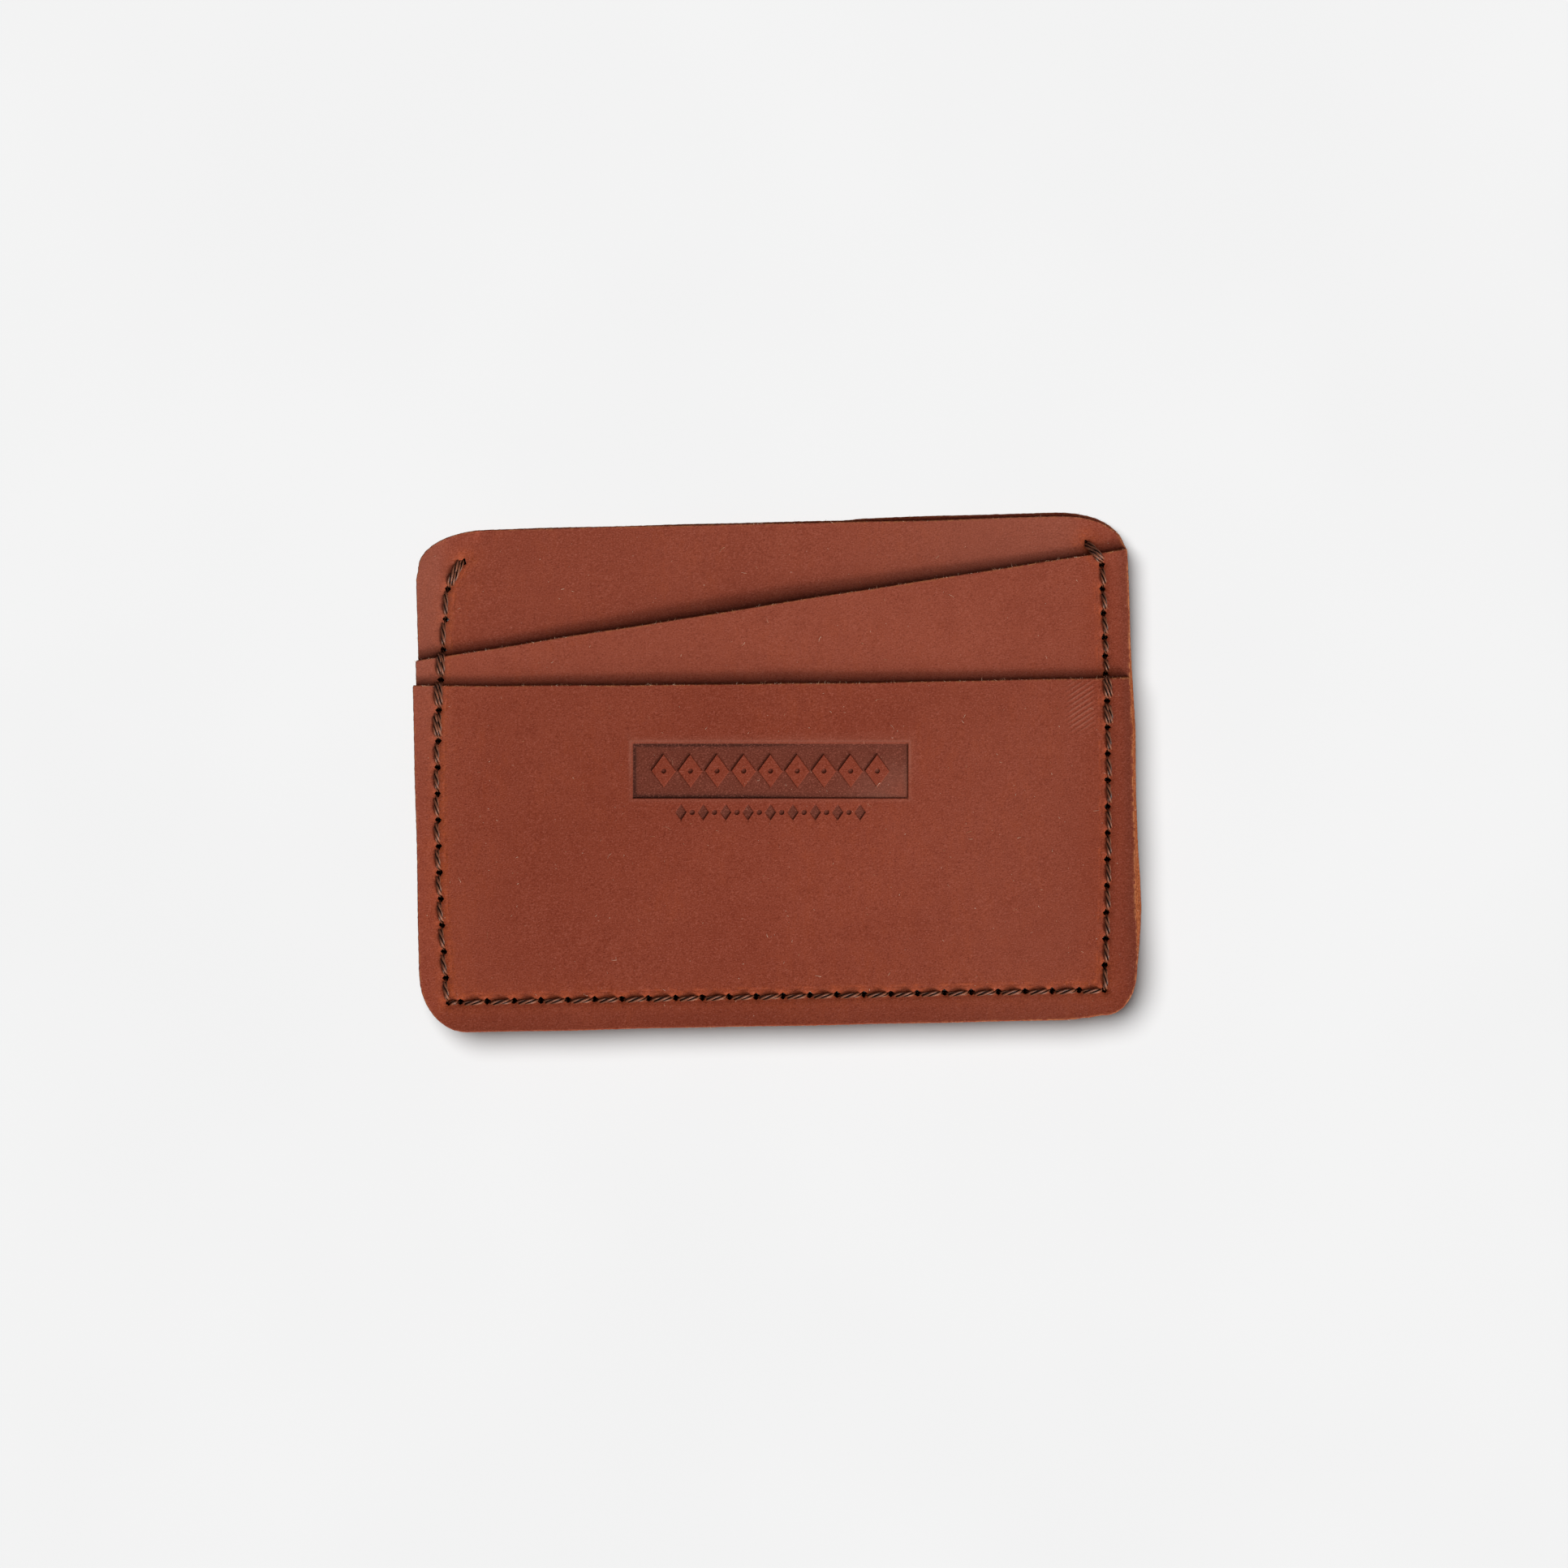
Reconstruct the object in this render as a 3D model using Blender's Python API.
"""Card holder: four raw-cut leather sheets, stacked and sewn together around three sides.

The sheets make three pockets that open upwards: a centre pocket between the two full-height
panels, a pocket with a slanted mouth in front of them, and a lower pocket with a straight mouth.
One lock-stitched seam in the shape of a U holds them, with a needle thread on the front and a
bobbin thread on the back.

The holder lies on its back: +X to the right, +Y towards the pocket mouths, +Z out of its front.
The origin is at the centre of its footprint, on the surface it lies on.
Lengths below are in millimetres, and MM turns them into metres.
"""

import math

import bmesh
import bpy
from mathutils import Vector

MM = 0.001

# Leather. The sheets touch on the real object, and here they keep GAP clear of each other.
LEATHER = 1.1
GAP = 0.3
LAYER_STEP = LEATHER + GAP

# Outlines, anticlockwise from the bottom left corner: x, y, and how far the rounding of that
# corner reaches along X and along Y. The ends of a pocket mouth are cut sharp.
BOTTOM_LEFT_ROUNDING = (6.5, 7.5)
BOTTOM_RIGHT_ROUNDING = (5.5, 5.8)
TOP_RIGHT_ROUNDING = (9.7, 5.1)
TOP_LEFT_ROUNDING = (9.6, 5.7)
SHARP = (0.0, 0.0)
BACK_PANEL_OUTLINE = (
    (-50.50, -35.50, BOTTOM_LEFT_ROUNDING),
    (50.57, -35.50, BOTTOM_RIGHT_ROUNDING),
    (49.75, 35.60, TOP_RIGHT_ROUNDING),
    (-49.60, 34.85, TOP_LEFT_ROUNDING),
)
FRONT_PANEL_OUTLINE = (
    (-50.40, -35.40, BOTTOM_LEFT_ROUNDING),
    (50.20, -35.40, BOTTOM_RIGHT_ROUNDING),
    (49.35, 34.95, TOP_RIGHT_ROUNDING),
    (-49.65, 34.70, TOP_LEFT_ROUNDING),
)
DIAGONAL_POCKET_OUTLINE = (
    (-50.45, -35.35, BOTTOM_LEFT_ROUNDING),
    (50.25, -35.45, BOTTOM_RIGHT_ROUNDING),
    (49.60, 30.10, SHARP),
    (-50.15, 16.50, SHARP),
)
FRONT_POCKET_OUTLINE = (
    (-50.50, -35.40, BOTTOM_LEFT_ROUNDING),
    (50.10, -35.50, BOTTOM_RIGHT_ROUNDING),
    (49.50, 12.05, SHARP),
    (-50.50, 13.00, SHARP),
)
ROUNDING_STEPS = 6

# Each pocket bulges a little in the middle of its mouth, and lies flat along the seam.
# The profile pairs a distance from the flat margin with a share of the sheet's full rise.
FLAT_LEFT = -42.6
FLAT_RIGHT = 43.3
FLAT_BOTTOM = -29.5
BULGE_PROFILE = ((0.0, 0.0), (6.0, 0.35), (13.0, 0.8), (22.0, 1.0))
FRONT_PANEL_RISE = 0.4
DIAGONAL_POCKET_RISE = 1.1
FRONT_POCKET_RISE = 1.5

# The seam: a slanted stitch at each end, and three runs between them. A run is made of
# stretches, each with its number of stitches and its length.
SEAM_START = (-43.5, 30.4)
SEAM_END = (44.2, 31.2)
LEFT_RUN_TOP = 26.7
LEFT_STRETCHES = ((5, 21.3), (10, 36.8))
LEFT_RUN_X = (-45.7, -47.6, -46.7)
BOTTOM_STRETCHES = ((1, 1.7), (24, 90.1))
BOTTOM_RUN_Y = (-31.4, -31.6)
RIGHT_STRETCHES = ((12, 44.3), (2, 5.2), (3, 10.2))
RIGHT_RUN_X = (45.1, 46.3, 46.1)
# Back-tacked stitches, sewn over twice, counted from the seam's start.
DOUBLED_STITCHES = (0, 3, 4, 5, 51, 52, 58)

# Thread. A hole is wider than its thread by GAP all round.
THREAD_HALF_WIDTH = 0.28
DOUBLED_HALF_WIDTH = 0.5
NEEDLE_HALF_HEIGHT = 0.26
BOBBIN_HALF_HEIGHT = 0.16
PIN_HALF_LENGTH = 0.2
HOLE_RADIUS = 0.6
HOLE_SIDES = 6
GROOVE_HALF_WIDTH = 0.85
GROOVE_ROOM_ABOVE_THREAD = 0.2
GROOVE_DEPTH = 2 * BOBBIN_HALF_HEIGHT + GROOVE_ROOM_ABOVE_THREAD

# The pressed emblem panel on the front pocket.
EMBLEM_CENTRE = (-0.9, 0.1)
EMBLEM_SIZE = (38.4, 7.8)
EMBLEM_DEPTH = 0.2

# Cutters reach this far past what they cut, and a slab of leather is this much larger than a sheet.
OVERCUT = 5.0
SLAB_HALF_LENGTH = 60.0
SLAB_HALF_WIDTH = 45.0

# Linear colours and roughness.
BACK_PANEL_COLOUR = (0.235, 0.058, 0.031)
FRONT_PANEL_COLOUR = (0.262, 0.066, 0.038)
DIAGONAL_POCKET_COLOUR = (0.258, 0.062, 0.033)
FRONT_POCKET_COLOUR = (0.240, 0.054, 0.030)
NEEDLE_THREAD_COLOUR = (0.075, 0.030, 0.018)
BOBBIN_THREAD_COLOUR = (0.070, 0.028, 0.017)
LEATHER_ROUGHNESS = 0.62
THREAD_ROUGHNESS = 0.5


def clear_scene():
    for old in list(bpy.data.objects):
        bpy.data.objects.remove(old, do_unlink=True)


def plain_material(name, colour, roughness):
    material = bpy.data.materials.new(name)
    material.use_nodes = True
    shader = material.node_tree.nodes["Principled BSDF"]
    shader.inputs["Base Color"].default_value = (*colour, 1.0)
    shader.inputs["Roughness"].default_value = roughness
    shader.inputs["Metallic"].default_value = 0.0
    return material


def new_object(name, mesh_data, material=None, height=0.0):
    """Puts a finished bmesh into the scene as an object whose origin is `height` mm up."""
    mesh = bpy.data.meshes.new(name)
    bmesh.ops.recalc_face_normals(mesh_data, faces=mesh_data.faces)
    bmesh.ops.scale(mesh_data, vec=Vector((MM, MM, MM)), verts=mesh_data.verts)
    mesh_data.to_mesh(mesh)
    mesh_data.free()
    if material is not None:
        mesh.materials.append(material)
    made = bpy.data.objects.new(name, mesh)
    made.location = (0.0, 0.0, height * MM)
    bpy.context.scene.collection.objects.link(made)
    return made


def as_cutter(cutter):
    cutter.hide_render = True
    cutter.display_type = "WIRE"
    return cutter


def cut(target, cutter, operation):
    modifier = target.modifiers.new(cutter.name, "BOOLEAN")
    modifier.operation = operation
    modifier.solver = "EXACT"
    modifier.object = cutter


def outline_points(corners):
    """The corners joined by straight edges, with a quarter ellipse at each rounded one."""
    points = []
    for number, (x, y, (reach_x, reach_y)) in enumerate(corners):
        corner = Vector((x, y))
        if reach_x == 0.0:
            points.append(corner)
            continue
        before = Vector(corners[number - 1][:2]) - corner
        after = Vector(corners[(number + 1) % len(corners)][:2]) - corner
        along_x = abs(before.x) > abs(before.y)
        reach_before, reach_after = (reach_x, reach_y) if along_x else (reach_y, reach_x)
        for step in range(ROUNDING_STEPS + 1):
            angle = math.pi / 2 * step / ROUNDING_STEPS
            arc = before.normalized() * reach_before * (1 - math.sin(angle))
            arc += after.normalized() * reach_after * (1 - math.cos(angle))
            points.append(corner + arc)
    return points


def prism(points, bottom, top):
    """A closed prism over a ring of points in plan."""
    shape = bmesh.new()
    low = [shape.verts.new((x, y, bottom)) for x, y in points]
    high = [shape.verts.new((x, y, top)) for x, y in points]
    shape.faces.new(reversed(low))
    shape.faces.new(high)
    for here in range(len(points)):
        after = (here + 1) % len(points)
        shape.faces.new((low[here], low[after], high[after], high[here]))
    return shape


def bulging_slab(rise):
    """A slab of leather larger than any outline, flat at its margins and raised in the middle."""
    columns = [(-SLAB_HALF_LENGTH, 0.0)]
    columns += [(FLAT_LEFT + inward, share) for inward, share in BULGE_PROFILE]
    columns += [(FLAT_RIGHT - inward, share) for inward, share in reversed(BULGE_PROFILE)]
    columns += [(SLAB_HALF_LENGTH, 0.0)]
    rows = [(-SLAB_HALF_WIDTH, 0.0)]
    rows += [(FLAT_BOTTOM + inward, share) for inward, share in BULGE_PROFILE]
    rows += [(SLAB_HALF_WIDTH, 1.0)]

    shape = bmesh.new()
    sides = []
    for base in (0.0, LEATHER):
        sides.append(
            [
                [shape.verts.new((x, y, base + rise * share_x * share_y)) for x, share_x in columns]
                for y, share_y in rows
            ]
        )
    for grid in sides:
        for low, high in zip(grid, grid[1:]):
            for here in range(len(columns) - 1):
                shape.faces.new((low[here], low[here + 1], high[here + 1], high[here]))
    rims = []
    for grid in sides:
        right = [row[-1] for row in grid[1:-1]]
        left = [row[0] for row in grid[1:-1]]
        rims.append(grid[0] + right + grid[-1][::-1] + left[::-1])
    lower, upper = rims
    for here in range(len(lower)):
        after = (here + 1) % len(lower)
        shape.faces.new((lower[here], lower[after], upper[after], upper[here]))
    bmesh.ops.triangulate(shape, faces=shape.faces, quad_method="FIXED")
    return shape


def leather_sheet(name, corners, layer, rise, colour):
    """One sheet, cut from a slab along its outline. Layer 0 is the sheet at the back."""
    material = plain_material(name, colour, LEATHER_ROUGHNESS)
    sheet = new_object(name, bulging_slab(rise), material, layer * LAYER_STEP)
    blade = new_object(name + "_blade", prism(outline_points(corners), -OVERCUT, 2 * OVERCUT))
    cut(sheet, as_cutter(blade), "INTERSECT")
    return sheet


def along(stretches, total_start, direction):
    """Distances of the holes along a run, after its first hole."""
    places = []
    place = total_start
    for count, length in stretches:
        for _ in range(count):
            place += direction * length / count
            places.append(place)
    return places


def through_three(first, middle, last, share):
    """A parabola through three values at shares 0, 0.5 and 1."""
    bend = 4 * middle - 2 * first - 2 * last
    return first + (last - first) * share + bend * share * (1 - share)


def seam_holes():
    """The centre of every stitch hole, from the top left, around the bottom, to the top right."""
    bottom_left, bottom_right = BOTTOM_RUN_Y
    left_length = sum(length for _, length in LEFT_STRETCHES)
    right_length = sum(length for _, length in RIGHT_STRETCHES)
    bottom_length = sum(length for _, length in BOTTOM_STRETCHES)

    holes = [Vector(SEAM_START), Vector((LEFT_RUN_X[0], LEFT_RUN_TOP))]
    for y in along(LEFT_STRETCHES, LEFT_RUN_TOP, -1):
        share = (LEFT_RUN_TOP - y) / left_length
        holes.append(Vector((through_three(*LEFT_RUN_X, share), y)))
    for x in along(BOTTOM_STRETCHES, LEFT_RUN_X[2], 1):
        share = (x - LEFT_RUN_X[2]) / bottom_length
        holes.append(Vector((x, bottom_left + (bottom_right - bottom_left) * share)))
    for y in along(RIGHT_STRETCHES, bottom_right, 1):
        share = (y - bottom_right) / right_length
        holes.append(Vector((through_three(*RIGHT_RUN_X, share), y)))
    holes.append(Vector(SEAM_END))
    return holes


def mouth_height(corners, x):
    """Y of a pocket's mouth at x. The mouth joins the last two corners of the outline."""
    (right_x, right_y, _), (left_x, left_y, _) = corners[2:]
    return left_y + (right_y - left_y) * (x - left_x) / (right_x - left_x)


def sheets_under(hole):
    """How many sheets the needle goes through at a hole."""
    if hole.y < mouth_height(FRONT_POCKET_OUTLINE, hole.x):
        return 4
    if hole.y < mouth_height(DIAGONAL_POCKET_OUTLINE, hole.x):
        return 3
    return 2


def stack_top(sheets):
    return sheets * LAYER_STEP - GAP


def hole_cutter(holes):
    """Every stitch hole's prism, in one object."""
    whole = bmesh.new()
    for hole in holes:
        ring = []
        for side in range(HOLE_SIDES):
            angle = 2 * math.pi * side / HOLE_SIDES
            ring.append(hole + HOLE_RADIUS * Vector((math.cos(angle), math.sin(angle))))
        one = prism(ring, -OVERCUT, 2 * OVERCUT)
        part = bpy.data.meshes.new("hole")
        one.to_mesh(part)
        one.free()
        whole.from_mesh(part)
        bpy.data.meshes.remove(part)
    return as_cutter(new_object("stitch_hole_cutter", whole))


def travel(points, number):
    """The direction of a path at one of its points, and how much a mitre there widens it, up to 2."""
    before = points[number] - points[number - 1] if number > 0 else None
    after = points[number + 1] - points[number] if number + 1 < len(points) else None
    before = before.normalized() if before else after.normalized()
    after = after.normalized() if after else before
    mean = (before + after).normalized()
    return mean, 1 / max(mean.dot(after), 0.5)


def groove_cutter(holes):
    """A channel along the seam, open downwards, that the bobbin thread is pulled into."""
    left_side, right_side = [], []
    for number, hole in enumerate(holes):
        mean, widening = travel(holes, number)
        sideways = Vector((-mean.y, mean.x)) * GROOVE_HALF_WIDTH * widening
        end = 0.0
        if number == 0:
            end = -GROOVE_HALF_WIDTH
        if number == len(holes) - 1:
            end = GROOVE_HALF_WIDTH
        left_side.append(hole + sideways + mean * end)
        right_side.append(hole - sideways + mean * end)
    ring = left_side + right_side[::-1]
    return as_cutter(new_object("bobbin_groove_cutter", prism(ring, -OVERCUT, GROOVE_DEPTH)))


def emblem_cutter(surface):
    """A block that presses the emblem panel's recess into the surface of the front pocket."""
    centre = Vector(EMBLEM_CENTRE)
    half = Vector(EMBLEM_SIZE) / 2
    ring = [centre + Vector((half.x * x, half.y * y)) for x, y in ((-1, -1), (1, -1), (1, 1), (-1, 1))]
    return as_cutter(new_object("emblem_cutter", prism(ring, surface - EMBLEM_DEPTH, surface + OVERCUT)))


def thread(name, holes, bar_heights, half_height, pin_ends, colour):
    """A six-sided thread that runs from hole to hole, with a square pin into each hole.

    bar_heights holds the height of each stitch. A pin points up or down towards its pin end,
    and grows from the face of the thread on that side.
    """
    shape = bmesh.new()
    pins_up = pin_ends[0] > bar_heights[0]
    rings = []
    for number, hole in enumerate(holes):
        mean, widening = travel(holes, number)
        sideways = Vector((-mean.y, mean.x)) * widening
        for side, stitch in ((-1, number - 1), (1, number)):
            stitch = min(max(stitch, 0), len(bar_heights) - 1)
            half_width = DOUBLED_HALF_WIDTH if stitch in DOUBLED_STITCHES else THREAD_HALF_WIDTH
            centre = hole + mean * PIN_HALF_LENGTH * side
            section = (
                (1.0, 0.0),
                (0.5, -half_height),
                (-0.5, -half_height),
                (-1.0, 0.0),
                (-0.5, half_height),
                (0.5, half_height),
            )
            ring = []
            for across, up in section:
                place = centre + sideways * half_width * across
                ring.append(shape.verts.new((place.x, place.y, bar_heights[stitch] + up)))
            rings.append(ring)

    pin_face = 4 if pins_up else 1
    for number, (near, far) in enumerate(zip(rings, rings[1:])):
        at_hole = number % 2 == 0
        for here in range(6):
            after = (here + 1) % 6
            corners = (near[here], near[after], far[after], far[here])
            if at_hole and here == pin_face:
                end = pin_ends[number // 2]
                tip = [shape.verts.new((corner.co.x, corner.co.y, end)) for corner in corners]
                for side in range(4):
                    following = (side + 1) % 4
                    shape.faces.new((corners[side], corners[following], tip[following], tip[side]))
                shape.faces.new(tip)
            else:
                shape.faces.new(corners)
    shape.faces.new(rings[0])
    shape.faces.new(rings[-1])
    return new_object(name, shape, plain_material(name, colour, THREAD_ROUGHNESS))


def build():
    clear_scene()
    holes = seam_holes()
    sheets = [
        leather_sheet("back_panel", BACK_PANEL_OUTLINE, 0, 0.0, BACK_PANEL_COLOUR),
        leather_sheet("front_panel", FRONT_PANEL_OUTLINE, 1, FRONT_PANEL_RISE, FRONT_PANEL_COLOUR),
        leather_sheet(
            "diagonal_pocket", DIAGONAL_POCKET_OUTLINE, 2, DIAGONAL_POCKET_RISE, DIAGONAL_POCKET_COLOUR
        ),
        leather_sheet("front_pocket", FRONT_POCKET_OUTLINE, 3, FRONT_POCKET_RISE, FRONT_POCKET_COLOUR),
    ]
    back_panel, front_pocket = sheets[0], sheets[3]
    cut(back_panel, groove_cutter(holes), "DIFFERENCE")
    cut(front_pocket, emblem_cutter(stack_top(4) + FRONT_POCKET_RISE), "DIFFERENCE")
    needle_holes = hole_cutter(holes)
    for sheet in sheets:
        cut(sheet, needle_holes, "DIFFERENCE")

    # Each stitch lies on the higher of the two surfaces that it joins.
    levels = [sheets_under(hole) for hole in holes]
    needle_heights = [
        stack_top(max(pair)) + GAP + NEEDLE_HALF_HEIGHT for pair in zip(levels, levels[1:])
    ]
    bobbin_heights = [BOBBIN_HALF_HEIGHT] * (len(holes) - 1)
    # The two threads meet halfway down each hole.
    meeting = [stack_top(level) / 2 for level in levels]
    needle_ends = [height + GAP / 2 for height in meeting]
    bobbin_ends = [height - GAP / 2 for height in meeting]
    thread("needle_thread", holes, needle_heights, NEEDLE_HALF_HEIGHT, needle_ends, NEEDLE_THREAD_COLOUR)
    thread("bobbin_thread", holes, bobbin_heights, BOBBIN_HALF_HEIGHT, bobbin_ends, BOBBIN_THREAD_COLOUR)


build()
